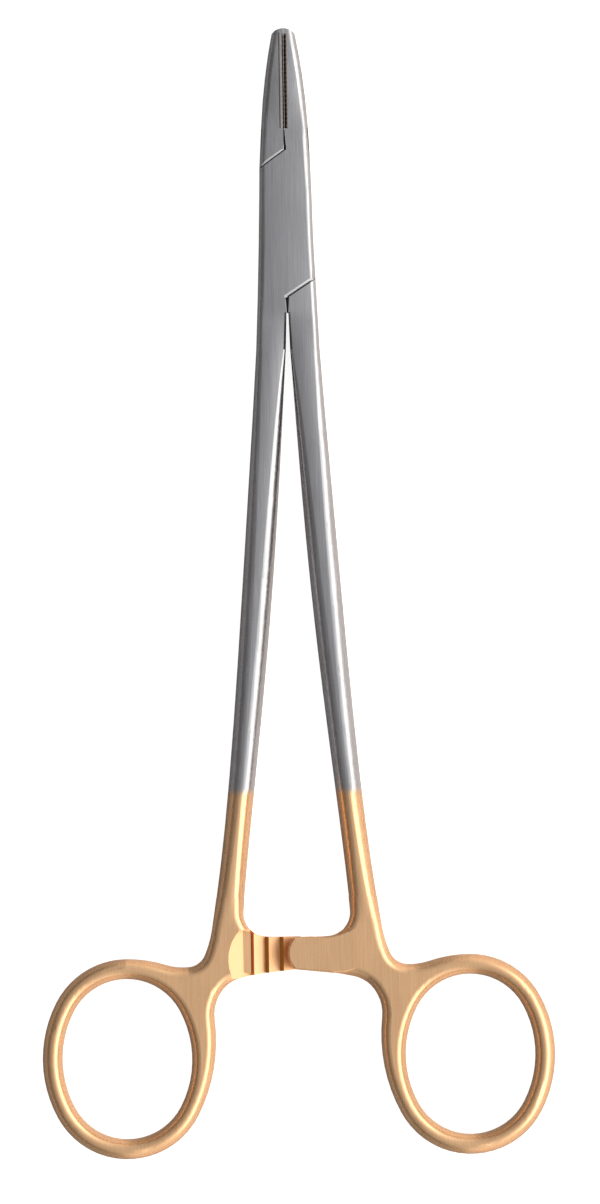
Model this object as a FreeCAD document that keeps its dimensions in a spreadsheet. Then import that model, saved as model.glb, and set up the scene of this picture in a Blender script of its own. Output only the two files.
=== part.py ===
import FreeCAD, Part
import math
import os
import re
import Sketcher
from FreeCAD import Vector

# Ring-handled needle holder with a box lock, lying flat. The pivot axis is +Z through the origin, the rear
# face of the lock is at Z = 0, the jaws point along +Y and the finger rings lie along -Y.

SIZES = [
    ("run_out", 1.0, "distance that a cut runs on past the metal"),
    # Box lock
    ("lock_thick", 5.0, "thickness of the box lock"),
    ("lock_half_width", 4.2, "half width of the lock beside the pivot"),
    ("waist_reach", 2.0, "distance ahead of the pivot at which the lock is narrowest"),
    ("blade_thick", 1.6, "thickness of the blade that passes through the box"),
    ("blade_clear", 0.05, "running clearance on each face of the blade"),
    ("blade_inset", 0.05, "depth of the blade's sides inside the cheeks' sides"),
    ("blade_end_clear", 0.1, "clearance at the blade's ends, along the instrument"),
    ("open_angle", 60.0, "opening at which the blade stops on the box, in degrees"),
    ("shoulder_outer", 8.7, "distance of a shoulder's outer end from the pivot"),
    ("shoulder_inner", 11.85, "distance of a shoulder's inner end from the pivot"),
    ("shoulder_gap", 0.18, "gap between a cheek and the shoulder beside it, along the instrument"),
    ("shoulder_bevel", 0.45, "width of the bevel along the shoulders"),
    ("slit_bevel", 0.2, "width of the bevel along the slit beside the jaw"),
    ("bevel_slope", 0.5, "depth of these bevels for their width"),
    ("root_bevel", 0.37, "width of the bevel along the inner side of each shank's root"),
    ("root_slope", 1.0, "depth of this bevel for its width"),
    ("rear_half_width", 4.58, "half width of the lock at its rear shoulder"),
    ("front_half_width", 4.1, "half width of the lock at its front shoulder"),
    ("slit_half", 0.3, "half width of the slit between the halves beside the lock"),
    ("slit_clear", 0.04, "clearance of the blade's webs in the slits"),
    ("jaw_slit", 0.2, "distance of the blade half's jaw from the axis beside its slit"),
    ("web_reach", 14.1, "distance from the pivot to the end of the web in the rear slit"),
    ("crotch_half", 0.15, "half width of the gap between the shanks behind the web"),
    ("lock_side_radius", 1000.0, "radius of the lock's long sides in plan"),
    ("pin_radius", 1.4, "radius of the pivot pin"),
    ("pin_clear", 0.04, "running clearance of the blade round the pin"),
    # Jaws
    ("jaw_reach", 31.1, "distance from the pivot to the tip of the jaws"),
    ("nose_radius", 2.35, "radius of the nose in plan"),
    ("nose_corner", 1.4, "half width at which the nose turns into its corner"),
    ("nose_drop", 0.44, "distance of that point behind the tip"),
    ("nose_half_width", 2.0, "half width at which the corner has passed the side"),
    ("nose_length", 1.3, "distance of that point behind the tip"),
    ("tip_half_width", 1.67, "half width of the jaws at the tip before the nose is cut round"),
    ("jaw_side_radius", 105.0, "radius of the jaw's side ahead of that station"),
    ("jaw_mid_reach", 16.0, "distance from the pivot to a station halfway along the jaws"),
    ("jaw_mid_half_width", 3.68, "half width of the closed jaws at that station"),
    ("nose_thick", 2.9, "thickness of the jaws at the tip"),
    ("taper_start", 5.0, "distance ahead of the pivot at which the jaws begin to thin"),
    ("jaw_gap", 0.012, "half of the gap between the closed jaws"),
    ("front_edge", 1.0, "rounding along the sides of the jaws and the lock"),
    # Jaw inserts
    ("insert_start", 15.1, "distance from the pivot to the heel of the inserts"),
    ("insert_toe", 0.9, "distance of the toe of the inserts behind the tip"),
    ("insert_depth", 0.55, "depth of each insert's seat from the middle of the jaws"),
    ("insert_bevel", 0.25, "bevel along the edges of the biting face"),
    ("insert_recess", 0.06, "depth of the inserts below the faces of the jaws"),
    ("serration_pitch", 0.72, "pitch of the serrations along the jaw"),
    ("serration_depth", 0.15, "depth of the serrations"),
    # Shanks
    ("shank_root", 20.0, "distance from the pivot to the root of the shank"),
    ("shank_root_in", 0.35, "distance of its inner side from the axis there"),
    ("shank_root_out", 5.05, "distance of its outer side from the axis there"),
    ("shank_root_edge", 0.35, "rounding of its inner edges there"),
    ("shank_upper", 40.0, "distance from the pivot to the shank's upper station"),
    ("shank_upper_in", 1.65, "distance of its inner side from the axis there"),
    ("shank_upper_out", 6.5, "distance of its outer side from the axis there"),
    ("shank_upper_edge", 1.5, "rounding of its edges there"),
    ("shank_upper_thick", 4.6, "thickness of the shank there"),
    ("shank_middle", 65.0, "distance from the pivot to the shank's middle station"),
    ("shank_middle_in", 3.7, "distance of its inner side from the axis there"),
    ("shank_middle_out", 8.42, "distance of its outer side from the axis there"),
    ("shank_lower", 90.0, "distance from the pivot to the shank's lower station"),
    ("shank_lower_in", 6.45, "distance of its inner side from the axis there"),
    ("shank_lower_out", 10.62, "distance of its outer side from the axis there"),
    ("shank_edge", 1.95, "rounding of the shank's edges at the middle and lower stations"),
    ("foot_up", 23.9, "height of the shank's foot, inside the handle, above the ring's centre"),
    ("foot_in", 18.85, "distance of its inner side from the ring's centre, across"),
    ("foot_out", 14.33, "distance of its outer side from the ring's centre, across"),
    ("foot_thick", 4.14, "thickness of the shank at its foot"),
    ("shank_thick", 4.2, "thickness of the shank and the handle"),
    ("handle_edge", 1.5, "rounding of the edges of the handle and the ring"),
    # Finger rings
    ("ring_across", 27.3, "distance of the ring's centre from the axis"),
    ("ring_along", 132.4, "distance of the ring's centre from the pivot"),
    ("hole_half_width", 10.3, "half width of the finger hole"),
    ("hole_half_length", 12.75, "half length of the finger hole"),
    ("hole_end_radius", 9.5, "radius of the finger hole's ends"),
    ("ring_band", 3.15, "width of the ring's band in plan"),
    ("handle_up", 25.4, "height of the handle's upper end above the ring's centre"),
    ("handle_in", 19.03, "distance of its inner side from the ring's centre, across"),
    ("handle_out", 14.52, "distance of its outer side from the ring's centre, across"),
    ("neck_radius", 505.0, "radius of the shank's outer side above the neck"),
    ("neck_in", 13.75, "distance of the neck's start from the ring's centre, across"),
    ("neck_up", 20.4, "distance of the neck's start from the ring's centre, along"),
    ("bend_in", 12.55, "the same across for the start of the notch above the ring"),
    ("bend_up", 16.3, "the same along for the start of the notch"),
    ("notch_in", 9.9, "the same across for the bottom of the notch"),
    ("notch_up", 14.45, "the same along for the bottom of the notch"),
    ("crown_in", 6.3, "the same across for the ring's crown beside the notch"),
    ("flank_in", 14.0, "the same across for the ring's inner flank"),
    ("flank_up", 6.0, "the same along for the ring's inner flank"),
    ("throat_in", 15.2, "the same across for the throat under the arm"),
    ("throat_up", 10.6, "the same along for the throat"),
    # Ratchet
    ("arm_up", 19.05, "height of the arms' upper edge above the ring's centre"),
    ("arm_tip_width", 5.1, "width of an arm at its tip"),
    ("arm_past", 0.5, "distance of an arm's tip corners past the axis"),
    ("arm_tip_radius", 3.6, "radius of an arm's tip in plan"),
    ("arm_straight", 4.0, "distance from the axis at which the upper edge begins to rise"),
    ("stub_in", 21.8, "distance of the handle's stub for the arm from the ring's centre, across"),
    ("stub_up", 19.2, "height of the stub's upper corner above the ring's centre"),
    ("stub_low", 13.3, "height of the stub's lower corner above the ring's centre"),
    ("flare_radius", 3.7, "radius of the flare between the arm and the shank"),
    ("flare_in", 18.85, "distance of the flare's upper end from the ring's centre, across"),
    ("flare_up", 23.2, "height of the flare's upper end above the ring's centre"),
    ("sweep_in", 18.3, "distance across of the start of the sweep from the arm into the ring"),
    ("sweep_up", 12.65, "height of the start of that sweep above the ring's centre"),
    ("root_in", 17.7, "distance across of the upper end of the arm's face from the ring's centre"),
    ("root_up", 20.9, "height of that end above the ring's centre"),
    ("root_low", 13.9, "height of the lower end of the arm's face above the ring's centre"),
    ("root_radius", 8.27, "radius of the lower edge of the arm's face there"),
    ("root_past", 15.0, "distance across of the arm's root inside the handle from the ring's centre"),
    ("arm_edge", 0.35, "rounding of an arm's outer edges"),
    ("tooth_pitch", 2.34, "pitch of the ratchet teeth"),
    ("tooth_first", 2.47, "distance of the first tooth's steep face from the axis"),
    ("tooth_lean", 0.5, "lean of a steep face across its height"),
    ("step_middle", 16.2, "height of the middle of the milled step above the ring's centre"),
    ("step_length", 8.2, "length of the milled step along the handle"),
    ("ramp_end", 11.1, "distance from the axis at which the step's ramp reaches the handle's face"),
    ("ramp_round", 1.6, "drop of the ramp's round end at its upper corner"),
    ("ramp_round_low", 0.9, "drop of the ramp's round end at its lower corner"),
    ("ramp_radius", 8.0, "radius of the ramp's round end"),
    ("tooth_crest", 0.4, "height of the teeth past the middle plane"),
    ("tooth_root", 0.45, "depth of the tooth roots below the middle plane"),
    ("tooth_count", 3, "number of teeth on each arm"),
]

doc = FreeCAD.newDocument("needle_holder")
sheet = doc.addObject("Spreadsheet::Sheet", "Sizes")
for row, (alias, size, meaning) in enumerate(SIZES, start=1):
    sheet.set(f"A{row}", alias)
    sheet.set(f"B{row}", str(size))
    sheet.set(f"C{row}", meaning)
    sheet.setAlias(f"B{row}", alias)
doc.recompute()

ALIASES = [alias for alias, size, meaning in SIZES]


def bound(text):
    """An expression in which every size's name points at its cell."""
    return re.sub(r"[a-z_]+", lambda word: f"Sizes.{word[0]}" if word[0] in ALIASES else word[0], str(text))


def value(text):
    """The number that an expression in the sizes' names gives."""
    result = sheet.evalExpression(bound(str(text)))
    return float(getattr(result, "Value", result))


MIDDLE = "lock_thick / 2"


def new_body(name):
    return doc.addObject("PartDesign::Body", name)


def new_sketch(body, name, role, offset="0", lean=0, axis=(1, 0, 0)):
    """A sketch on one of the body's origin planes, moved along its normal and leaning about an axis."""
    sketch = body.newObject("Sketcher::SketchObject", name)
    plane = [item for item in body.Origin.OriginFeatures if item.Role == role][0]
    sketch.AttachmentSupport = [(plane, "")]
    sketch.MapMode = "FlatFace"
    sketch.AttachmentOffset = FreeCAD.Placement(
        Vector(0, 0, value(offset)), FreeCAD.Rotation(Vector(*axis), lean)
    )
    sketch.setExpression("AttachmentOffset.Base.z", bound(str(offset)))
    return sketch


def arc_between(first, last, centre, turn):
    """The arc from first to last about a centre, and which of its ends comes first."""
    radius = (first - centre).Length
    low = math.atan2(first.y - centre.y, first.x - centre.x)
    high = math.atan2(last.y - centre.y, last.x - centre.x)
    if turn < 0:
        low, high = high, low
    if high < low:
        high += 2 * math.pi
    circle = Part.Circle(centre, Vector(0, 0, 1), radius)
    return Part.ArcOfCircle(circle, low, high), (1, 2) if turn > 0 else (2, 1)


def draw(sketch, side, start, steps):
    """Draw a closed outline whose corners are expressions in the sizes.

    Each step is a line, an arc tangent to the step before it, or a bend, an arc of its own radius that is
    negative where it turns clockwise. A last word smooth makes a step tangent to the one before it. A corner
    whose y starts with ~ slides along y until both its neighbours are tangent. Side mirrors the outline.
    """
    corners = [start] + [step[1:3] for step in steps]
    places = [Vector(side * value(x), value(y.strip("~")), 0) for x, y in corners]
    pieces = []
    heading = None
    for index, step in enumerate(steps):
        first = places[index]
        last = places[index + 1]
        chord = last - first
        if step[0] == "line":
            geometry = Part.LineSegment(first, last)
            ends = (1, 2)
            heading = Vector(chord).normalize()
        else:
            if step[0] == "arc":
                half_turn = math.atan2(heading.x * chord.y - heading.y * chord.x, heading.dot(chord))
            else:
                half_turn = math.asin(chord.Length / 2 / (side * value(step[3])))
                heading = turned(chord, -half_turn)
            centre = first + turned(heading, math.pi / 2) * (chord.Length / 2 / math.sin(half_turn))
            geometry, ends = arc_between(first, last, centre, half_turn)
            heading = turned(heading, 2 * half_turn)
        pieces.append((sketch.addGeometry(geometry, False), ends))
    for index, step in enumerate(steps):
        number, ends = pieces[index]
        before, before_ends = pieces[index - 1]
        smooth = step[0] == "arc" or step[-1] == "smooth"
        kind = "Tangent" if smooth else "Coincident"
        sketch.addConstraint(Sketcher.Constraint(kind, before, before_ends[1], number, ends[0]))
        if step[0] == "bend":
            hold(sketch, "Radius", (number,), step[3].lstrip("-"))
        x, y = corners[index]
        hold(sketch, "DistanceX", (-1, 1, number, ends[0]), f"{side} * ({x})")
        if not y.startswith("~"):
            hold(sketch, "DistanceY", (-1, 1, number, ends[0]), y)


def turned(vector, angle):
    """The unit vector along a vector turned by an angle about +Z."""
    length = vector.Length
    x = vector.x * math.cos(angle) - vector.y * math.sin(angle)
    y = vector.x * math.sin(angle) + vector.y * math.cos(angle)
    return Vector(x / length, y / length, 0)


def hold(sketch, kind, places, text):
    """Add a dimension whose size is an expression."""
    number = sketch.addConstraint(Sketcher.Constraint(kind, *places, value(text)))
    sketch.setExpression(f"Constraints[{number}]", bound(text))


def add_pad(body, sketch, length, both=True, reverse=False, other="0"):
    """A pad of a sketch, to both sides of it or with one length each way."""
    pad = body.newObject("PartDesign::Pad", sketch.Name + "_pad")
    pad.Profile = sketch
    pad.SideType = "Symmetric" if both else "Two sides"
    pad.setExpression("Length", bound(length))
    if not both:
        pad.setExpression("Length2", bound(other))
        pad.Reversed = reverse
    sketch.Visibility = False
    doc.recompute()
    return pad


def add_pocket(body, sketch, length):
    """A pocket of a sketch, half its length to each side of the sketch. It has to take material away."""
    before = body.Shape.Volume
    pocket = body.newObject("PartDesign::Pocket", sketch.Name + "_pocket")
    pocket.Profile = sketch
    pocket.SideType = "Symmetric"
    pocket.setExpression("Length", bound(length))
    doc.recompute()
    if not body.Shape.Volume < before:
        raise RuntimeError(f"{pocket.Name} cuts nothing")
    return pocket


def edge_names(shape, wanted):
    """Names of the edges whose middle, direction and ends fit a test."""
    names = []
    for number, edge in enumerate(shape.Edges, start=1):
        first = edge.valueAt(edge.FirstParameter)
        last = edge.valueAt(edge.LastParameter)
        middle = edge.valueAt((edge.FirstParameter + edge.LastParameter) / 2)
        if wanted(first, middle, last):
            names.append(f"Edge{number}")
    return names


def add_edge_finish(body, kind, name, size, wanted):
    """A fillet or a chamfer on the edges of the body's shape that fit a test."""
    base = body.Tip
    finish = body.newObject("PartDesign::" + kind, name)
    finish.Base = (base, edge_names(base.Shape, wanted))
    finish.setExpression("Radius" if kind == "Fillet" else "Size", bound(size))
    doc.recompute()
    return finish


def level(point_a, point_b):
    """Whether two points lie at one height."""
    return abs(point_a.z - point_b.z) < 1e-6


# The finger hole is an oval of four arcs. A side arc meets an end arc on the line through both centres.
SIDE_RADIUS = (
    "(((hole_half_length - hole_end_radius)^2 + hole_half_width^2 - hole_end_radius^2)"
    " / (2 * (hole_half_width - hole_end_radius)))"
)


def join_across(band):
    share = f"({SIDE_RADIUS} - hole_half_width) / ({SIDE_RADIUS} - hole_end_radius)"
    return f"((hole_end_radius + {band}) * {share})"


def join_along(band):
    end_centre = "(hole_half_length - hole_end_radius)"
    return f"({end_centre} * (1 + (hole_end_radius + {band}) / ({SIDE_RADIUS} - hole_end_radius)))"


STUB = "(ring_across - stub_in)"


END_BAND = "-(hole_end_radius + ring_band)"


def add_handle(name, side):
    """The end of the shank and the finger ring, forged as one, with the finger hole through it."""
    body = new_body(name)
    sketch = new_sketch(body, name + "_outline", "XY_Plane", MIDDLE)
    across = join_across("ring_band")
    along = join_along("ring_band")
    top = ("ring_across", "0 - ring_along + hole_half_length + ring_band")
    draw(sketch, side, top, [
        ("bend", f"ring_across + {across}", f"0 - ring_along + {along}", END_BAND, "smooth"),
        ("arc", f"ring_across + {across}", f"0 - ring_along - {along}"),
        ("arc", f"ring_across - {across}", f"0 - ring_along - {along}"),
        ("arc", "ring_across - flank_in", "0 - ring_along + flank_up"),
        ("arc", "ring_across - throat_in", "0 - ring_along + throat_up"),
        ("arc", "ring_across - sweep_in", "0 - ring_along + sweep_up"),
        ("arc", STUB, "0 - ring_along + stub_low"),
        ("line", STUB, "0 - ring_along + stub_up"),
        ("bend", "ring_across - flare_in", "0 - ring_along + flare_up", "flare_radius"),
        ("arc", "ring_across - handle_in", "0 - ring_along + handle_up"),
        ("line", "ring_across - handle_out", "0 - ring_along + handle_up"),
        ("bend", "ring_across - neck_in", "0 - ring_along + neck_up", "neck_radius"),
        ("arc", "ring_across - bend_in", "0 - ring_along + bend_up"),
        ("arc", "ring_across - notch_in", "0 - ring_along + notch_up"),
        ("arc", "ring_across - crown_in", "~0 - ring_along + hole_half_length + ring_band - 1"),
        ("arc", *top),
    ])
    add_pad(body, sketch, "shank_thick")
    hole = new_sketch(body, name + "_hole", "XY_Plane", MIDDLE)
    across = join_across("0")
    along = join_along("0")
    draw(hole, side, (f"ring_across + {across}", f"0 - ring_along - {along}"), [
        ("bend", f"ring_across + {across}", f"0 - ring_along + {along}", SIDE_RADIUS),
        ("arc", f"ring_across - {across}", f"0 - ring_along + {along}"),
        ("arc", f"ring_across - {across}", f"0 - ring_along - {along}"),
        ("arc", f"ring_across + {across}", f"0 - ring_along - {along}"),
    ])
    add_pocket(body, hole, "shank_thick + run_out")
    end = value("handle_up - ring_along")
    stub = value(STUB)

    def on_rim(first, middle, last):
        """Whether an edge runs along the handle, and is neither its upper end nor the end of the stub."""
        at_stub = abs(abs(first.x) - stub) < 1e-3 and abs(abs(last.x) - stub) < 1e-3
        return level(first, last) and middle.y < end - 1e-3 and not at_stub

    add_edge_finish(body, "Fillet", name + "_rounding", "handle_edge", on_rim)
    return body


def add_section(body, name, side, station, inner, outer, thick, inner_edge, outer_edge):
    """A section of the shank: a rectangle with two inner and two outer rounded corners."""
    sketch = new_sketch(body, name, "XZ_Plane", station)
    low = f"({MIDDLE} - {thick} / 2)"
    high = f"({MIDDLE} + {thick} / 2)"
    draw(sketch, side, (f"{inner} + {inner_edge}", low), [
        ("line", f"{outer} - {outer_edge}", low),
        ("arc", outer, f"{low} + {outer_edge}"),
        ("line", outer, f"{high} - {outer_edge}"),
        ("arc", f"{outer} - {outer_edge}", high),
        ("line", f"{inner} + {inner_edge}", high),
        ("arc", inner, f"{high} - {inner_edge}"),
        ("line", inner, f"{low} + {inner_edge}"),
        ("arc", f"{inner} + {inner_edge}", low),
    ])
    return sketch


def add_shank(name, side):
    """The shank, from a flat bar at the lock to a nearly round rod that ends in the handle."""
    body = new_body(name)
    root = add_section(
        body, name + "_root", side, "shank_root", "shank_root_in", "shank_root_out",
        "lock_thick", "shank_root_edge", "front_edge",
    )
    upper = add_section(
        body, name + "_upper", side, "shank_upper", "shank_upper_in", "shank_upper_out",
        "shank_upper_thick", "shank_upper_edge", "shank_upper_edge",
    )
    middle = add_section(
        body, name + "_middle", side, "shank_middle", "shank_middle_in", "shank_middle_out",
        "shank_thick", "shank_edge", "shank_edge",
    )
    lower = add_section(
        body, name + "_lower", side, "shank_lower", "shank_lower_in", "shank_lower_out",
        "shank_thick", "shank_edge", "shank_edge",
    )
    foot = add_section(
        body, name + "_foot", side, "ring_along - foot_up", "ring_across - foot_in", "ring_across - foot_out",
        "foot_thick", "handle_edge", "handle_edge",
    )
    doc.recompute()
    loft = body.newObject("PartDesign::AdditiveLoft", name + "_loft")
    loft.Profile = root
    loft.Sections = [upper, middle, lower, foot]
    doc.recompute()
    return body


TOOTH = "(tooth_first + {0} * tooth_pitch)"


def add_arm(name, side):
    """A ratchet arm. The right one lies in front of the middle plane and the left one behind it, turned half
    round, so that their teeth face each other."""
    body = new_body(name)
    sketch = new_sketch(body, name + "_outline", "XY_Plane", MIDDLE)
    top = "0 - ring_along + arm_up"
    draw(sketch, side, ("0 - arm_past", top), [
        ("line", "arm_straight", top),
        ("arc", STUB, "0 - ring_along + stub_up"),
        ("arc", "ring_across - root_in", "0 - ring_along + root_up"),
        ("line", "ring_across - root_past", "0 - ring_along + step_middle"),
        ("line", "ring_across - root_in", "0 - ring_along + root_low"),
        ("bend", STUB, "0 - ring_along + stub_low", "-root_radius"),
        ("line", "0 - arm_past", f"{top} - arm_tip_width"),
        ("bend", "0 - arm_past", top, "-arm_tip_radius"),
    ])
    add_pad(body, sketch, "shank_thick / 2", False, side < 0, "tooth_crest")
    face = value(f"{MIDDLE} + {side} * shank_thick / 2")
    reach = value("ring_across - root_in")

    def on_arm_face(first, middle, last):
        """Whether an edge bounds the arm's own face short of the handle."""
        return level(first, last) and abs(middle.z - face) < 1e-3 and abs(middle.x) < reach

    add_edge_finish(body, "Fillet", name + "_rounding", "arm_edge", on_arm_face)
    return body


RAMP_FOOT = f"({TOOTH.format('(tooth_count - 1)')} + tooth_lean / 2)"
RAMP_DROP = "(shank_thick / 2 + tooth_root)"


def add_ramp(body, side):
    """Mill the ramp that leads from the handle's face down to the step, with a round upper end in plan."""
    slope = math.degrees(math.atan2(value(RAMP_DROP), value(f"ramp_end - {RAMP_FOOT}")))
    root = f"{MIDDLE} + {side} * tooth_root"
    sketch = new_sketch(body, body.Name + "_ramp", "XY_Plane", root, slope, (0, 1, 0))
    sketch.AttachmentOffset.Base.x = side * value(RAMP_FOOT)
    sketch.setExpression("AttachmentOffset.Base.x", bound(f"{side} * {RAMP_FOOT}"))
    length = f"sqrt({RAMP_DROP}^2 + (ramp_end - {RAMP_FOOT})^2)"
    low = "0 - ring_along + step_middle - step_length / 2"
    high = "0 - ring_along + step_middle + step_length / 2"
    draw(sketch, side, ("0", low), [
        ("line", f"{length} - ramp_round_low", low),
        ("bend", f"{length} - ramp_round", high, "ramp_radius"),
        ("line", "0", high),
        ("line", "0", low),
    ])
    pocket = body.newObject("PartDesign::Pocket", sketch.Name + "_pocket")
    pocket.Profile = sketch
    pocket.SideType = "One side"
    pocket.setExpression("Length", bound("lock_thick"))
    pocket.Reversed = side < 0
    doc.recompute()


def add_step(body, side):
    """Mill the step for the other arm and the saw of the ratchet in it."""
    sketch = new_sketch(body, body.Name + "_step", "XZ_Plane", "ring_along - step_middle")
    crest = f"{MIDDLE} - {side} * tooth_crest"
    root = f"{MIDDLE} + {side} * tooth_root"
    clear = f"{MIDDLE} - {side} * shank_thick"
    steps = [("line", "0 - arm_past - 3 * run_out", root)]
    count = int(value("tooth_count"))
    for number in range(count):
        face = TOOTH.format(number)
        before = TOOTH.format(number - 1)
        steps.append(("line", f"{before} + tooth_lean / 2", root))
        steps.append(("line", f"{face} - tooth_lean / 2", crest))
    steps.append(("line", RAMP_FOOT, root))
    steps.append(("line", RAMP_FOOT, clear))
    steps.append(("line", "0 - arm_past - 3 * run_out", clear))
    draw(sketch, side, ("0 - arm_past - 3 * run_out", clear), steps)
    add_pocket(body, sketch, "step_length")


# The blade stops where its side meets the corner of the window in the side of the box.
STOP = "(lock_half_width * tan(open_angle / 2))"
FRONT_SLOPE = "((shoulder_inner - shoulder_outer) / (front_half_width + slit_half))"
REAR_SLOPE = "((shoulder_inner - shoulder_outer) / (rear_half_width + slit_half))"
TAPER_LENGTH = "(jaw_reach - taper_start)"
TAPER_DROP = "((lock_thick - nose_thick) / 2)"
TAPER_RADIUS = f"(({TAPER_LENGTH}^2 + {TAPER_DROP}^2) / (2 * {TAPER_DROP}))"
JAW_SIDE = [
    ("line", "tip_half_width", "jaw_reach"),
    ("bend", "jaw_mid_half_width", "jaw_mid_reach", "-jaw_side_radius"),
]


def cut_nose(body, side):
    """Cut the tip round in plan, across the rounding of the jaw's side."""
    sketch = new_sketch(body, body.Name + "_nose", "XY_Plane", MIDDLE)
    far = "nose_half_width * 2"
    draw(sketch, side, ("0", "jaw_reach"), [
        ("bend", "nose_corner", "jaw_reach - nose_drop", "-nose_radius"),
        ("arc", "nose_half_width", "jaw_reach - nose_length"),
        ("line", far, "jaw_reach - nose_length"),
        ("line", far, "jaw_reach + nose_length"),
        ("line", "0", "jaw_reach + nose_length"),
        ("line", "0", "jaw_reach"),
    ])
    add_pocket(body, sketch, "lock_thick * 2")


def thin_jaws(body, recess="0"):
    """Thin the jaws towards the tip with one long arc on each face."""
    beyond = f"({TAPER_RADIUS} - sqrt({TAPER_RADIUS}^2 - ({TAPER_LENGTH} + run_out)^2))"
    for sign, word in ((1, "front"), (-1, "rear")):
        sketch = new_sketch(body, f"{body.Name}_{word}_taper", "YZ_Plane")
        face = f"{MIDDLE} + {sign} * (lock_thick / 2 - {recess})"
        draw(sketch, 1, ("taper_start", face), [
            ("line", "taper_start", f"{face} + {sign} * run_out"),
            ("line", "jaw_reach + run_out", f"{face} + {sign} * run_out"),
            ("line", "jaw_reach + run_out", f"{face} - {sign} * {beyond}"),
            ("bend", "taper_start", face, TAPER_RADIUS if sign > 0 else "-" + TAPER_RADIUS),
        ])
        add_pocket(body, sketch, "rear_half_width * 4")


def on_outer_side(first, middle, last):
    """Whether an edge runs along an outer side of the jaws or the lock, on the front or the rear face."""
    at_face = abs(middle.z - value(MIDDLE)) > value("nose_thick") / 3
    lengthwise = abs(last.x - first.x) < 0.35 * abs(last.y - first.y) and abs(middle.x) > value("nose_corner")
    return at_face and lengthwise and middle.y < value("jaw_reach - nose_length")


def add_bevels(body, name, first, last, slope="bevel_slope"):
    """Bevel an edge that runs along both faces with bars turned half over. Its wall looks to the right."""
    along = Vector(last - first).normalize()
    away = Vector(along.y, -along.x, 0)
    width = value("lock_half_width")
    for sign, word in ((1, "front"), (-1, "rear")):
        out = (away * value(slope) + Vector(0, 0, sign)).normalize()
        across = along.cross(out)
        bar = body.newObject("PartDesign::SubtractiveBox", f"{body.Name}_{word}_{name}")
        bar.Length = (last - first).Length
        bar.setExpression("Width", bound("lock_half_width"))
        bar.setExpression("Height", bound("lock_half_width"))
        face = value(MIDDLE) + sign * value("lock_thick") / 2
        corner = first + Vector(0, 0, face) - away * value(name) - across * (width / 2)
        bar.Placement = FreeCAD.Placement(corner, FreeCAD.Rotation(along, out, across, "XYZ"))
        doc.recompute()


def add_bore(body, radius):
    """The hole for the pivot pin."""
    sketch = new_sketch(body, body.Name + "_bore", "XY_Plane", MIDDLE)
    circle = sketch.addGeometry(Part.Circle(Vector(0, 0, 0), Vector(0, 0, 1), value(radius)), False)
    sketch.addConstraint(Sketcher.Constraint("Coincident", circle, 3, -1, 1))
    hold(sketch, "Radius", (circle,), radius)
    add_pocket(body, sketch, "lock_thick + run_out")


def add_seat(body, side):
    """The seat of a jaw's insert, open to the biting face and to both sides of the jaw."""
    sketch = new_sketch(body, body.Name + "_seat", "XY_Plane", MIDDLE)
    draw(sketch, side, ("0 - insert_depth", "insert_start"), [
        ("line", "0 - insert_depth", "(jaw_reach - insert_toe)"),
        ("line", "insert_depth", "(jaw_reach - insert_toe)"),
        ("line", "insert_depth", "insert_start"),
        ("line", "0 - insert_depth", "insert_start"),
    ])
    add_pocket(body, sketch, "lock_thick + run_out")


def add_box_front(name):
    """The right jaw and the box: two cheeks with a slot between them, on the root of the left shank."""
    body = new_body(name)
    sketch = new_sketch(body, name + "_outline", "XY_Plane", MIDDLE)
    draw(sketch, 1, ("jaw_gap", "jaw_reach"), JAW_SIDE + [
        ("arc", "lock_half_width", "waist_reach"),
        ("arc", "rear_half_width", "0 - shoulder_outer"),
        ("line", "0 - slit_half", "0 - shoulder_inner"),
        ("line", "0 - crotch_half", "0 - web_reach"),
        ("line", "0 - shank_root_in", "0 - shank_root"),
        ("line", "0 - shank_root_out", "0 - shank_root"),
        ("bend", "0 - front_half_width", "shoulder_outer", "lock_side_radius"),
        ("line", "slit_half", "shoulder_inner"),
        ("line", "jaw_gap", "insert_start"),
        ("line", "jaw_gap", "jaw_reach"),
    ])
    add_pad(body, sketch, "lock_thick")
    thin_jaws(body)
    add_edge_finish(body, "Fillet", name + "_rounding", "front_edge", on_outer_side)
    cut_nose(body, 1)
    crotch = Vector(-value("crotch_half"), -value("web_reach"), 0)
    root = Vector(-value("shank_root_in"), -value("shank_root"), 0)
    add_bevels(body, "root_bevel", root, crotch, "root_slope")
    inner = Vector(-value("slit_half"), -value("shoulder_inner"), 0)
    outer = Vector(value("rear_half_width"), -value("shoulder_outer"), 0)
    add_bevels(body, "shoulder_bevel", inner, outer * 2 - inner)
    slot = new_sketch(body, name + "_slot", "XY_Plane", MIDDLE)
    far = "lock_half_width * 2"
    draw(slot, 1, ("slit_half", "shoulder_inner"), [
        ("line", "lock_half_width", STOP),
        ("line", far, STOP),
        ("line", far, "0 - shoulder_inner"),
        ("line", "0 - slit_half", "0 - shoulder_inner"),
        ("line", "0 - lock_half_width", f"0 - {STOP}"),
        ("line", f"0 - {far}", f"0 - {STOP}"),
        ("line", f"0 - {far}", "shoulder_inner"),
        ("line", "slit_half", "shoulder_inner"),
    ])
    add_pocket(body, slot, "blade_thick + 2 * blade_clear")
    add_bore(body, "pin_radius")
    add_seat(body, 1)
    return body


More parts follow.
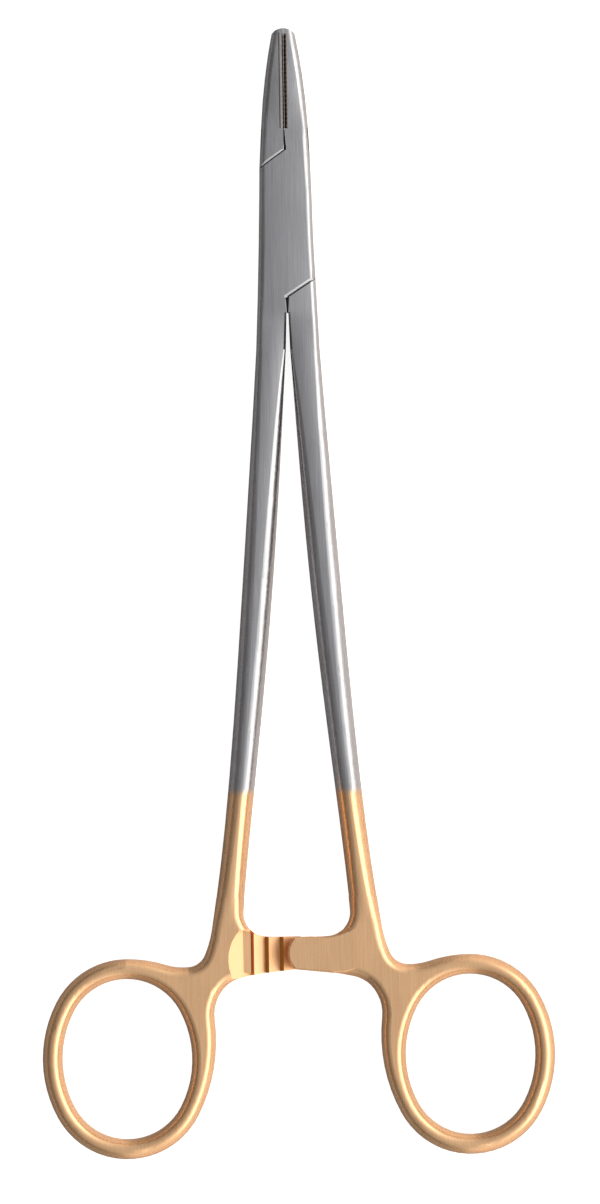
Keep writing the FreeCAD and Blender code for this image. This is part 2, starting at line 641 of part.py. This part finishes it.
def add_blade_front(name):
    """The left jaw and the blade that passes through the box, on the root of the right shank. The outline is
    drawn with the jaw on the right and mirrored."""
    body = new_body(name)
    side = -1
    sketch = new_sketch(body, name + "_outline", "XY_Plane", MIDDLE)
    blade_side = "lock_half_width - blade_inset"
    draw(sketch, side, ("jaw_gap", "jaw_reach"), JAW_SIDE + [
        ("arc", "front_half_width", "shoulder_outer + shoulder_gap"),
        ("line", blade_side, f"0 - {STOP} + blade_end_clear"),
        ("line", "slit_half - slit_clear", "0 - shoulder_inner"),
        ("line", "crotch_half - slit_clear", "0 - web_reach"),
        ("line", "0 - crotch_half", "0 - web_reach"),
        ("line", "0 - shank_root_in", "0 - shank_root"),
        ("line", "0 - shank_root_out", "0 - shank_root"),
        ("line", "0 - rear_half_width", "0 - shoulder_outer - shoulder_gap"),
        ("line", f"0 - ({blade_side})", "0 - waist_reach * 2"),
        ("line", f"0 - ({blade_side})", f"{STOP} - blade_end_clear"),
        ("line", "0 - slit_half + slit_clear", "shoulder_inner"),
        ("line", "slit_clear / 2", "insert_start - slit_clear"),
        ("line", "jaw_slit", "insert_start - slit_clear"),
        ("line", "jaw_slit", "insert_start"),
        ("line", "jaw_gap", "insert_start"),
        ("line", "jaw_gap", "jaw_reach"),
    ])
    add_pad(body, sketch, "lock_thick")
    thin_jaws(body)
    far = "(lock_half_width + run_out)"
    cheek = "((lock_thick - blade_thick) / 2 + run_out)"
    front_line = "shoulder_outer + shoulder_gap"
    for sign, word in ((1, "front"), (-1, "rear")):
        height = f"{MIDDLE} + {sign} * (blade_thick / 2 + {cheek} / 2)"
        cut = new_sketch(body, f"{name}_{word}_shoulders", "XY_Plane", height)
        draw(cut, side, ("front_half_width + run_out", f"{front_line} - {FRONT_SLOPE}"), [
            ("line", "jaw_slit", f"{front_line} + {FRONT_SLOPE} * (front_half_width - jaw_slit)"),
            ("line", "jaw_slit", "insert_start"),
            ("line", f"0 - {far}", "insert_start"),
            ("line", "0 - rear_half_width - run_out", f"0 - ({front_line} - {REAR_SLOPE})"),
            ("line", "0 - slit_half", f"0 - ({front_line} + {REAR_SLOPE} * (rear_half_width - slit_half))"),
            ("line", "0 - crotch_half", "0 - web_reach"),
            ("line", far, "0 - web_reach"),
            ("line", "front_half_width + run_out", f"{front_line} - {FRONT_SLOPE}"),
        ])
        add_pocket(body, cut, cheek)
    add_edge_finish(body, "Fillet", name + "_rounding", "front_edge", on_outer_side)
    cut_nose(body, side)
    crotch = Vector(value("crotch_half"), -value("web_reach"), 0)
    root = Vector(value("shank_root_in"), -value("shank_root"), 0)
    add_bevels(body, "root_bevel", crotch, root, "root_slope")
    slit = -value("jaw_slit")
    corner = Vector(slit, value(f"{front_line} + {FRONT_SLOPE} * (front_half_width - jaw_slit)"), 0)
    outer = Vector(-value("front_half_width"), value(front_line), 0)
    add_bevels(body, "shoulder_bevel", outer * 2 - corner, corner)
    add_bevels(body, "slit_bevel", corner, Vector(slit, value("insert_start"), 0))
    add_bore(body, "pin_radius + pin_clear")
    add_seat(body, side)
    return body


def add_insert(name, side):
    """A carbide insert: a bar that fills the jaw's seat, with bevelled edges and a serrated biting face."""
    body = new_body(name + "_body")
    sketch = new_sketch(body, name + "_outline", "XY_Plane", MIDDLE)
    draw(sketch, side, ("jaw_gap", "insert_start"), [
        ("line", "jaw_gap", "(jaw_reach - insert_toe)"),
        ("line", "insert_depth", "(jaw_reach - insert_toe)"),
        ("line", "insert_depth", "insert_start"),
        ("line", "jaw_gap", "insert_start"),
    ])
    add_pad(body, sketch, "lock_thick - 2 * insert_recess")
    thin_jaws(body, "insert_recess")
    bite = value("jaw_gap")
    add_edge_finish(
        body, "Chamfer", name + "_bevel", "insert_bevel",
        lambda first, middle, last: not level(first, last) and max(abs(first.x), abs(last.x)) < bite + 1e-3,
    )
    add_serrations(body, side)
    return body


SERRATED = "(jaw_reach - insert_toe - insert_start + lock_thick / 2)"


def add_serrations(body, side):
    """Two crossing rows of grooves on an insert's biting face, each a groove repeated along the jaw."""
    for lean, word in ((45, "rising"), (-45, "falling")):
        groove = new_sketch(body, f"{body.Name}_{word}_groove", "XY_Plane", MIDDLE, lean)
        across = f"cos({abs(lean)})"
        first = f"(insert_start - lock_thick / 4) * {across}"
        draw(groove, side, ("0 - jaw_gap", f"{first} - serration_depth - 2 * jaw_gap"), [
            ("line", "jaw_gap + serration_depth", first),
            ("line", "0 - jaw_gap", f"{first} + serration_depth + 2 * jaw_gap"),
            ("line", "0 - jaw_gap", f"{first} - serration_depth - 2 * jaw_gap"),
        ])
        pocket = add_pocket(body, groove, "jaw_reach * 3")
        row = body.newObject("PartDesign::LinearPattern", f"{body.Name}_{word}_grooves")
        row.Originals = [pocket]
        row.Direction = (groove, ["V_Axis"])
        row.setExpression("Length", bound(f"{SERRATED} * {across}"))
        row.Occurrences = 1 + round(value(f"{SERRATED} / serration_pitch"))
        body.Tip = row
        doc.recompute()


def join(label, bodies):
    """One forged piece out of its stretches."""
    fused = doc.addObject("Part::MultiFuse", label)
    fused.Shapes = bodies
    doc.recompute()
    return fused


limbs = {}
for side, word in ((1, "right"), (-1, "left")):
    limbs[side] = [
        add_shank(word + "_shank", side),
        add_handle(word + "_handle", side),
        add_arm(word + "_arm", side),
    ]
    for piece in limbs[side][1:]:
        add_step(piece, side)
    add_ramp(limbs[side][1], side)
box_half = join("box_half", [add_box_front("box_front")] + limbs[-1])
blade_half = join("blade_half", [add_blade_front("blade_front")] + limbs[1])
pivot_pin = doc.addObject("Part::Cylinder", "pivot_pin")
pivot_pin.setExpression("Radius", bound("pin_radius"))
pivot_pin.setExpression("Height", bound("lock_thick"))
box_jaw_insert = add_insert("box_jaw_insert", 1)
blade_jaw_insert = add_insert("blade_jaw_insert", -1)
doc.recompute()

for item in doc.Objects:
    if "Invalid" in item.State or "Error" in item.State:
        raise RuntimeError(f"{item.Name} did not build")

PIECES = {
    "box_half": box_half,
    "blade_half": blade_half,
    "pivot_pin": pivot_pin,
    "box_jaw_insert": box_jaw_insert,
    "blade_jaw_insert": blade_jaw_insert,
}
os.makedirs("parts", exist_ok=True)
for label, piece in PIECES.items():
    piece.Label = label
    shape = piece.Shape
    if shape.isNull() or not shape.isValid() or len(shape.Solids) != 1:
        raise RuntimeError(f"{label} is not one sound solid")
    shape.exportStep(f"parts/{label}.step")
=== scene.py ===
import math
import bpy
from mathutils import Matrix, Vector

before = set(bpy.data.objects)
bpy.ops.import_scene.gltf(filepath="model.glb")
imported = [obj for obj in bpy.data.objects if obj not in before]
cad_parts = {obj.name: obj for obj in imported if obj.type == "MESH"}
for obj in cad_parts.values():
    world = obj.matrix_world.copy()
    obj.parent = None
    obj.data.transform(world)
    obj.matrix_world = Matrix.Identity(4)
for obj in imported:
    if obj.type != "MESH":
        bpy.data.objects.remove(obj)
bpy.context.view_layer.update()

# Sizes in metres, in the frame of the CAD model: +Y towards the jaws, +Z out of the front face
MM = 0.001
MIDDLE = 2.5 * MM
EDGE_SOFT = 0.04 * MM

# Gold plating on the handles
GOLD_START = -90.2 * MM
GOLD_BLEND = 0.8 * MM
GOLD_RAGGED = 0.5 * MM
RAGGED_GRAIN = (1.2, 0.5, 1.2)

# Space inside the lock, darkened with painted shade and made rougher
LOCK_SIDE = 3.95 * MM
LOCK_END = 15.2 * MM
LOCK_DEEP = 1.85 * MM
LOCK_SOFT = 0.15 * MM
LOCK_END_SOFT = 0.1 * MM
LOCK_SHADE_SHOWN = 0.75
LOCK_ROUGHER = 0.3

# Painted shade along the seam between the left jaw and its insert
SEAM = -0.7 * MM
SEAM_HALF = 0.13 * MM
SEAM_CORE = 0.05 * MM
SEAM_TOP = 30.4 * MM
SEAM_SHADE_SHOWN = 0.8

# Painted shade on the small bevels where the shanks part
ROOT_LOW = -20.1 * MM
ROOT_HIGH = -13 * MM
ROOT_SIDE = 2.4 * MM
ROOT_DEEP = 2.24 * MM
ROOT_SHADE_SHOWN = 0.8

# Ratchet teeth, whose steep faces get painted shade, and the milled step that holds them
TOOTH_FIRST = 2.47 * MM
TOOTH_PITCH = 2.34 * MM
TOOTH_HALF = 0.3 * MM
TEETH_LOW = -120.2 * MM
TEETH_HIGH = -112.0 * MM
TEETH_SIDE = 6 * MM
TEETH_DEEP = 0.6 * MM
TEETH_SOFT = 0.05 * MM
STEP_SIDE = 11.2 * MM
STEP_DEEP = 2.0 * MM
STEP_SOFT = 0.02 * MM
STEP_ROUGHER = 0.2

# Rounding that the shading adds to the edges, as a factor on the normal's lean
ROUNDER = 1.2
RING_ROUNDER = 1.75
RING_TOP = -112 * MM
RING_BLEND = 6 * MM

# Middle line of the lock, the shanks and the handles, and the crown of their faces
LOCK_TAIL = -13 * MM
SHANK_TOP = -16 * MM
SHANK_FULL = -22 * MM
SHANK_END = -90 * MM
SHANK_TOP_MIDDLE = 2.4 * MM
SHANK_END_MIDDLE = 8.54 * MM
HANDLE_OUT = 2.7 * MM
JAW_ROOT = 14 * MM
JAW_MIDDLE = 22 * MM
LOCK_CROWN = 0.035 / MM
JAW_CROWN = 0.075 / MM
SHANK_CROWN = 0.13 / MM
GILT_CROWN = 0.15 / MM
GILT_LEAN = 0.065

# Brushing: grain per millimetre along each axis, share of the coarser lines, roughness and relief
GRAIN = (7, 0.06, 7)
FINE_GRAIN = (16, 0.25, 16)
GRAIN_SHARE = 0.65
BRUSH_LOW = 0.3
BRUSH_HIGH = 0.7
SMOOTHEST = 0.24
ROUGHEST = 0.34
BRUSH_RELIEF = 0.16
RELIEF_DEPTH = 0.02 * MM

# Faint clouds in the polish
CLOUD_GRAIN = (0.25, 0.08, 0.25)
CLOUD_LOW = 0.35
CLOUD_HIGH = 0.65
CLOUD_SHOWN = 0.12

# Carbide: its dark band of painted shade beside the biting face, with dots of painted shade where the cross
# cuts run out, and its finish
BAND_MIDDLE = 0.1 * MM
BAND_OUTER = 0.40 * MM
BAND_INNER = 0.32 * MM
CUT_PITCH = 0.724 * MM
DOT_OUTER = 0.26 * MM
DOT_INNER = 0.12 * MM
SPECK_GRAIN = (6, 6, 6)
SPECK_LOW = 0.35
SPECK_HIGH = 0.65
CARBIDE_ROUGH = 0.42
CARBIDE_RELIEF = 0.15

# Floor
FLOOR_HALF = 3.0
FLOOR_DROP = 0.1 * MM
FLOOR_PALE = (0.8, 0.8, 0.8, 1)
FLOOR_GLOW = 0.85
FLOOR_IN_METAL = 0.5

# Camera, straight above, turned as in the photograph
FRAME_HEIGHT = 191.53 * MM
CENTRE = Vector((1.28, -60.12, 2.5)) * MM
DISTANCE = 1.2
ROLL = math.radians(0.9)
SENSOR = 24.0

# Key light, a strip softbox along the instrument
KEY_AIM = Vector((0, -60 * MM, 0))
KEY_TURN = math.radians(62)
KEY_DISTANCE = 0.9
KEY_SIZE = (0.6, 1.6)
KEY_POWER = 2.4

# The studio's light by the angle about the instrument's length, in degrees from straight above to the right
STUDIO = (
    (-180, 0.30, 0.26, 0.24),
    (-145, 0.10, 0.08, 0.07),
    (-110, 0.07, 0.05, 0.05),
    (-90, 0.15, 0.14, 0.14),
    (-66, 0.19, 0.18, 0.18),
    (-50, 0.24, 0.23, 0.23),
    (-32, 0.34, 0.34, 0.35),
    (-16, 0.44, 0.44, 0.45),
    (0, 0.53, 0.53, 0.55),
    (16, 0.72, 0.72, 0.73),
    (32, 0.97, 0.97, 0.97),
    (60, 1.00, 0.97, 0.94),
    (88, 1.10, 1.03, 0.98),
    (110, 1.45, 1.26, 1.15),
    (145, 1.35, 1.14, 1.03),
    (180, 1.05, 0.89, 0.80),
)

# The bright strip, in degrees about the instrument's length and as a direction along it
STRIP_LEFT = 20
STRIP_MIDDLE = 62
STRIP_RIGHT = 104
STRIP_END = 0.85
STRIP_FULL = 0.4
STRIP_POWER = 0.9


def linear(red, green, blue):
    """The linear colour of an 8-bit sRGB one."""
    parts = [part / 255 for part in (red, green, blue)]
    return [part / 12.92 if part <= 0.04045 else ((part + 0.055) / 1.055) ** 2.4 for part in parts] + [1.0]


# Colours, in pairs from the darker to the lighter part of a grain
STEEL = (linear(173, 173, 175), linear(194, 194, 195))
GILT = (linear(243, 192, 143), linear(254, 208, 159))
GROUND_CARBIDE = (linear(176, 166, 161), linear(204, 194, 188))
# Painted shade: the carbide's dark band beside the biting face
SHADED_CARBIDE = (linear(88, 74, 70), linear(110, 94, 88))
CLOUD_COLOUR = (0.45, 0.42, 0.4, 1)
# Painted shade inside the lock
LOCK_SHADE_COLOUR = (0.02, 0.018, 0.017, 1)
# Painted shade of the gap at the insert's seam
SEAM_SHADE_COLOUR = (0.03, 0.026, 0.025, 1)
# Painted shade in the carbide's cross cuts
CUT_SHADE_COLOUR = (0.04, 0.028, 0.025, 1)
# Painted shade on the lower part of the shank bevels
ROOT_SHADE_COLOUR = linear(110, 98, 92)
# Painted shade on the steep faces of the ratchet teeth
TOOTH_SHADE_COLOUR = linear(190, 140, 70)


class Nodes:
    """A material's or world's node tree with short ways to add nodes."""

    def __init__(self, name, world=False):
        owner = bpy.data.worlds.new(name) if world else bpy.data.materials.new(name)
        owner.use_nodes = True
        owner.node_tree.nodes.clear()
        self.owner = owner
        self.tree = owner.node_tree

    def feed(self, socket, source):
        """Links a socket to another one, or sets its value."""
        if isinstance(source, bpy.types.NodeSocket):
            self.tree.links.new(source, socket)
        else:
            socket.default_value = source

    def add(self, kind, inputs=None, **settings):
        node = self.tree.nodes.new(kind)
        for key, setting in settings.items():
            setattr(node, key, setting)
        for key, source in (inputs or {}).items():
            self.feed(node.inputs[key], source)
        return node

    def math(self, operation, *sources):
        return self.add("ShaderNodeMath", dict(enumerate(sources)), operation=operation).outputs[0]

    def vector(self, operation, *sources):
        return self.add("ShaderNodeVectorMath", dict(enumerate(sources)), operation=operation).outputs[0]

    def joined(self, x=0.0, y=0.0, z=0.0):
        """A vector of three parts."""
        return self.add("ShaderNodeCombineXYZ", {0: x, 1: y, 2: z}).outputs[0]

    def product(self, *sources):
        """All the sources multiplied."""
        result = sources[0]
        for source in sources[1:]:
            result = self.math("MULTIPLY", result, source)
        return result

    def away(self, source, middle):
        """How far the source is from a middle."""
        return self.math("ABSOLUTE", self.math("SUBTRACT", source, middle))

    def within(self, source, low, high):
        """1 where the source lies between two limits, and 0 elsewhere."""
        return self.product(self.math("GREATER_THAN", source, low), self.math("LESS_THAN", source, high))

    def span(self, source, low, high, to_low=0.0, to_high=1.0, smooth=True):
        """The source's span from low to high, mapped and kept within the new limits."""
        node = self.add("ShaderNodeMapRange", {0: source, 1: low, 2: high, 3: to_low, 4: to_high})
        node.interpolation_type = "SMOOTHSTEP" if smooth else "LINEAR"
        return node.outputs[0]

    def mix(self, factor, first, second, blend="MIX"):
        node = self.add("ShaderNodeMix", data_type="RGBA", blend_type=blend)
        for index, source in ((0, factor), (6, first), (7, second)):
            self.feed(node.inputs[index], source)
        return node.outputs[2]

    def turn(self, vector, before, after):
        """A normal turned from one space to another."""
        node = self.add("ShaderNodeVectorTransform", {0: vector}, vector_type="NORMAL")
        node.convert_from = before
        node.convert_to = after
        return node.outputs[0]

    def noise(self, place, scale, detail=2.0, rough=0.5):
        """Noise whose grain per millimetre is given along each axis."""
        mapping = self.add("ShaderNodeMapping", {"Vector": place, "Scale": [part / MM for part in scale]})
        node = self.add("ShaderNodeTexNoise", {
            "Vector": mapping.outputs[0], "Scale": 1.0, "Detail": detail, "Roughness": rough,
        })
        return node.outputs["Fac"]

    def metallic(self, colour, rough, normal):
        """Gives the material a metal surface."""
        shader = self.add("ShaderNodeBsdfPrincipled", {
            "Base Color": colour, "Roughness": rough, "Normal": normal, "Metallic": 1.0,
        })
        self.add("ShaderNodeOutputMaterial", {"Surface": shader.outputs[0]})


class Spot:
    """Where a shaded point lies: across and along the instrument, and how far from its middle planes."""

    def __init__(self, nodes):
        self.place = nodes.add("ShaderNodeTexCoord").outputs["Object"]
        self.across, self.along, height = nodes.add("ShaderNodeSeparateXYZ", {0: self.place}).outputs
        self.side = nodes.math("ABSOLUTE", self.across)
        self.deep = nodes.away(height, MIDDLE)


def brushing(nodes, spot):
    """Fine lines along the instrument."""
    grain = nodes.noise(spot.place, GRAIN, 4, 0.65)
    fine = nodes.noise(spot.place, FINE_GRAIN, 2, 0.6)
    return nodes.math("ADD", nodes.product(grain, GRAIN_SHARE), nodes.product(fine, 1 - GRAIN_SHARE))


def gilding(nodes, spot):
    """1 on the gold plating, which starts at a slightly ragged line."""
    ragged = nodes.noise(spot.place, RAGGED_GRAIN, 3)
    shift = nodes.product(nodes.math("SUBTRACT", ragged, 0.5), GOLD_RAGGED)
    edge = nodes.math("ADD", spot.along, shift)
    return nodes.span(edge, GOLD_START + GOLD_BLEND, GOLD_START - GOLD_BLEND)


def inside_lock(nodes, spot):
    """1 on the faces inside the lock, which are darkened with painted shade and made rougher."""
    return nodes.product(
        nodes.span(spot.side, LOCK_SIDE, LOCK_SIDE - LOCK_SOFT),
        nodes.span(nodes.math("ABSOLUTE", spot.along), LOCK_END, LOCK_END - LOCK_END_SOFT),
        nodes.span(spot.deep, LOCK_DEEP + LOCK_SOFT, LOCK_DEEP),
    )


def insert_seam_shade(nodes, spot):
    """1 along the seam between the left jaw and its insert, where a dark line of painted shade goes."""
    return nodes.product(
        nodes.span(nodes.away(spot.across, SEAM), SEAM_HALF, SEAM_CORE),
        nodes.within(spot.along, LOCK_END, SEAM_TOP),
    )


def shank_root_shade(nodes, spot):
    """1 where the shanks part, on the lower part of their small bevels, which is darkened with painted
    shade.
    """
    return nodes.product(
        nodes.within(spot.along, ROOT_LOW, ROOT_HIGH),
        nodes.math("LESS_THAN", spot.side, ROOT_SIDE),
        nodes.span(spot.deep, ROOT_DEEP + EDGE_SOFT, ROOT_DEEP - EDGE_SOFT),
    )


def shaded_steep_teeth(nodes, spot):
    """1 on the steep faces of the ratchet teeth, which get painted shade."""
    past_first = nodes.math("SUBTRACT", spot.side, TOOTH_FIRST)
    from_tooth = nodes.math("WRAP", past_first, TOOTH_PITCH / 2, -TOOTH_PITCH / 2)
    return nodes.product(
        nodes.span(nodes.math("ABSOLUTE", from_tooth), TOOTH_HALF + EDGE_SOFT, TOOTH_HALF - EDGE_SOFT),
        nodes.within(spot.along, TEETH_LOW, TEETH_HIGH),
        nodes.math("LESS_THAN", spot.side, TEETH_SIDE),
        nodes.span(spot.deep, TEETH_DEEP + TEETH_SOFT, TEETH_DEEP),
    )


def milled_step(nodes, spot):
    """1 in the milled step of the ratchet arms."""
    return nodes.product(
        nodes.within(spot.along, TEETH_LOW, TEETH_HIGH),
        nodes.math("LESS_THAN", spot.side, STEP_SIDE),
        nodes.span(spot.deep, STEP_DEEP + STEP_SOFT, STEP_DEEP - STEP_SOFT),
    )


def middle_line(nodes, spot):
    """Distance of the middle line of the lock, a shank or a handle from the instrument's own."""
    shank = nodes.span(spot.along, SHANK_TOP, SHANK_END, SHANK_TOP_MIDDLE, SHANK_END_MIDDLE, False)
    handle = nodes.span(spot.along, SHANK_END, RING_TOP, 0, HANDLE_OUT, False)
    past_lock = nodes.span(spot.along, LOCK_TAIL, SHANK_TOP, 0, 1)
    return nodes.product(nodes.math("ADD", shank, handle), past_lock)


def crown(nodes, spot, gold):
    """How much a face leans for each metre from its middle line."""
    lock = nodes.span(spot.along, LOCK_TAIL, SHANK_FULL, LOCK_CROWN, SHANK_CROWN)
    jaw = nodes.span(spot.along, JAW_ROOT, JAW_MIDDLE, 0, JAW_CROWN)
    gilt = nodes.span(gold, 0, 1, 0, GILT_CROWN)
    steepness = nodes.math("ADD", nodes.math("ADD", lock, jaw), gilt)
    return nodes.product(steepness, nodes.span(spot.along, RING_TOP, RING_TOP + RING_BLEND))


def polished_normal(nodes, spot, gold, milled):
    """The normal of faces polished a little crowned, with edges rounder than the model's rounding."""
    facing = nodes.turn(nodes.add("ShaderNodeNewGeometry").outputs["Normal"], "WORLD", "OBJECT")
    rounder = nodes.span(spot.along, RING_TOP, RING_TOP - RING_BLEND, ROUNDER, RING_ROUNDER)
    rounder = nodes.span(milled, 0, 1, rounder, 1.0, False)
    facing = nodes.vector("MULTIPLY", facing, nodes.joined(rounder, rounder, 1.0))
    outward = nodes.product(nodes.math("SIGN", spot.across), middle_line(nodes, spot))
    from_middle = nodes.math("SUBTRACT", spot.across, outward)
    lean = nodes.product(from_middle, crown(nodes, spot, gold))
    lean = nodes.math("ADD", lean, nodes.product(gold, GILT_LEAN))
    facing = nodes.vector("ADD", facing, nodes.joined(lean))
    return nodes.vector("NORMALIZE", nodes.turn(facing, "OBJECT", "WORLD"))


def metal():
    """Brushed steel that turns into brushed gold plating towards the finger rings."""
    nodes = Nodes("brushed_metal")
    spot = Spot(nodes)
    brush = brushing(nodes, spot)
    gold = gilding(nodes, spot)
    inside = inside_lock(nodes, spot)
    milled = milled_step(nodes, spot)

    streak = nodes.span(brush, BRUSH_LOW, BRUSH_HIGH)
    colour = nodes.mix(gold, nodes.mix(streak, *STEEL), nodes.mix(streak, *GILT))
    cloud = nodes.noise(spot.place, CLOUD_GRAIN, 3)
    cloud = nodes.span(cloud, CLOUD_LOW, CLOUD_HIGH, 0, CLOUD_SHOWN)
    colour = nodes.mix(cloud, colour, CLOUD_COLOUR, "MULTIPLY")
    # Painted shade: a dark line along the insert's seam
    colour = nodes.mix(nodes.product(insert_seam_shade(nodes, spot), SEAM_SHADE_SHOWN), colour, SEAM_SHADE_COLOUR)
    # Painted shade darkens the faces inside the lock
    colour = nodes.mix(nodes.product(inside, LOCK_SHADE_SHOWN), colour, LOCK_SHADE_COLOUR)
    # Painted shade on the lower part of the bevels where the shanks part
    colour = nodes.mix(nodes.product(shank_root_shade(nodes, spot), ROOT_SHADE_SHOWN), colour, ROOT_SHADE_COLOUR)
    # Painted shade on the steep tooth faces
    colour = nodes.mix(shaded_steep_teeth(nodes, spot), colour, TOOTH_SHADE_COLOUR)

    rough = nodes.span(brush, BRUSH_LOW, BRUSH_HIGH, SMOOTHEST, ROUGHEST)
    rough = nodes.math("ADD", rough, nodes.product(inside, LOCK_ROUGHER))
    rough = nodes.math("ADD", rough, nodes.product(milled, STEP_ROUGHER))
    bump = nodes.add("ShaderNodeBump", {
        "Strength": BRUSH_RELIEF, "Distance": RELIEF_DEPTH, "Height": brush,
        "Normal": polished_normal(nodes, spot, gold, milled),
    })
    nodes.metallic(colour, rough, bump.outputs[0])
    return nodes.owner


def carbide():
    """Dull ground carbide with a dark band of painted shade beside the biting face, dotted with painted
    shade of the cross cuts.
    """
    nodes = Nodes("carbide")
    spot = Spot(nodes)
    speck = nodes.noise(spot.place, SPECK_GRAIN, 3)
    speckled = nodes.span(speck, SPECK_LOW, SPECK_HIGH)
    from_cut = nodes.math("ABSOLUTE", nodes.math("WRAP", spot.along, CUT_PITCH / 2, -CUT_PITCH / 2))
    dot = nodes.span(from_cut, DOT_OUTER, DOT_INNER)
    # Painted shade: the dark band, and darker dots where the cross cuts run out
    dark = nodes.mix(dot, nodes.mix(speckled, *SHADED_CARBIDE), CUT_SHADE_COLOUR)
    band = nodes.span(nodes.away(spot.across, BAND_MIDDLE), BAND_OUTER, BAND_INNER)
    colour = nodes.mix(band, nodes.mix(speckled, *GROUND_CARBIDE), dark)
    bump = nodes.add("ShaderNodeBump", {
        "Strength": CARBIDE_RELIEF, "Distance": RELIEF_DEPTH, "Height": speck,
    })
    nodes.metallic(colour, CARBIDE_ROUGH, bump.outputs[0])
    return nodes.owner


def floor_material():
    """A pale floor: white with the object's shadow for the camera, and at half strength in the metal."""
    nodes = Nodes("floor")
    path = nodes.add("ShaderNodeLightPath").outputs
    in_metal = nodes.product(path["Is Glossy Ray"], FLOOR_IN_METAL)
    seen = nodes.math("MAXIMUM", path["Is Camera Ray"], in_metal)
    glow = nodes.add("ShaderNodeEmission", {
        "Color": (1, 1, 1, 1), "Strength": nodes.product(path["Is Camera Ray"], FLOOR_GLOW),
    })
    matt = nodes.add("ShaderNodeBsdfDiffuse", {"Color": FLOOR_PALE})
    shown = nodes.add("ShaderNodeAddShader", {0: glow.outputs[0], 1: matt.outputs[0]})
    hidden = nodes.add("ShaderNodeBsdfTransparent")
    both = nodes.add("ShaderNodeMixShader", {0: seen, 1: hidden.outputs[0], 2: shown.outputs[0]})
    nodes.add("ShaderNodeOutputMaterial", {"Surface": both.outputs[0]})
    return nodes.owner


def studio():
    """A soft studio: dark to the left, grey above and bright to the right, with a soft bright strip."""
    nodes = Nodes("studio", world=True)
    direction = nodes.add("ShaderNodeTexCoord").outputs["Generated"]
    across, along, up = nodes.add("ShaderNodeSeparateXYZ", {0: direction}).outputs
    angle = nodes.math("ARCTAN2", across, up)
    ramp = nodes.add("ShaderNodeValToRGB", {0: nodes.span(angle, -math.pi, math.pi, 0, 1, False)})
    stops = ramp.color_ramp.elements
    while len(stops) < len(STUDIO):
        stops.new(0.5)
    for stop, (degrees, *level) in zip(stops, STUDIO):
        stop.position = (degrees + 180) / 360
        stop.color = (*level, 1)
    rise = nodes.span(angle, math.radians(STRIP_LEFT), math.radians(STRIP_MIDDLE))
    fall = nodes.span(angle, math.radians(STRIP_RIGHT), math.radians(STRIP_MIDDLE))
    length = nodes.span(nodes.math("ABSOLUTE", along), STRIP_END, STRIP_FULL)
    strip = nodes.product(rise, fall, length, STRIP_POWER)
    back = nodes.add("ShaderNodeBackground", {
        "Color": ramp.outputs[0], "Strength": nodes.math("ADD", strip, 1.0),
    })
    nodes.add("ShaderNodeOutputWorld", {"Surface": back.outputs[0]})
    return nodes.owner


def softbox(name, aim, turn, distance, size, power):
    """An area lamp that looks at a point from an angle to the right of straight above."""
    lamp = bpy.data.lights.new(name, "AREA")
    lamp.shape = "RECTANGLE"
    lamp.size, lamp.size_y = size
    lamp.energy = power
    item = bpy.data.objects.new(name, lamp)
    bpy.context.scene.collection.objects.link(item)
    direction = Vector((math.sin(turn), 0, math.cos(turn)))
    item.matrix_world = Matrix.Translation(aim + direction * distance) @ Matrix.Rotation(turn, 4, "Y")


def lay_floor():
    """A large square floor just below the instrument."""
    mesh = bpy.data.meshes.new("floor")
    corners = [(x * FLOOR_HALF, y * FLOOR_HALF, 0) for x, y in ((-1, -1), (1, -1), (1, 1), (-1, 1))]
    mesh.from_pydata(corners, [], [(0, 1, 2, 3)])
    floor = bpy.data.objects.new("floor", mesh)
    floor.location.z = -FLOOR_DROP
    floor.data.materials.append(floor_material())
    bpy.context.scene.collection.objects.link(floor)


def set_camera():
    """A camera straight above that frames the instrument as the photograph does."""
    data = bpy.data.cameras.new("camera")
    data.sensor_fit = "VERTICAL"
    data.sensor_height = SENSOR
    data.lens = data.sensor_height * DISTANCE / FRAME_HEIGHT
    camera = bpy.data.objects.new("camera", data)
    bpy.context.scene.collection.objects.link(camera)
    above = Matrix.Translation(CENTRE + Vector((0, 0, DISTANCE)))
    camera.matrix_world = above @ Matrix.Rotation(-ROLL, 4, "Z")
    bpy.context.scene.camera = camera


bpy.context.scene.view_settings.view_transform = "Standard"
bpy.context.scene.world = studio()

METAL = metal()
CARBIDE = carbide()
for name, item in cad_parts.items():
    for place in item.material_slots:
        place.material = CARBIDE if name.endswith("insert") else METAL

lay_floor()
set_camera()
softbox("key", KEY_AIM, KEY_TURN, KEY_DISTANCE, KEY_SIZE, KEY_POWER)
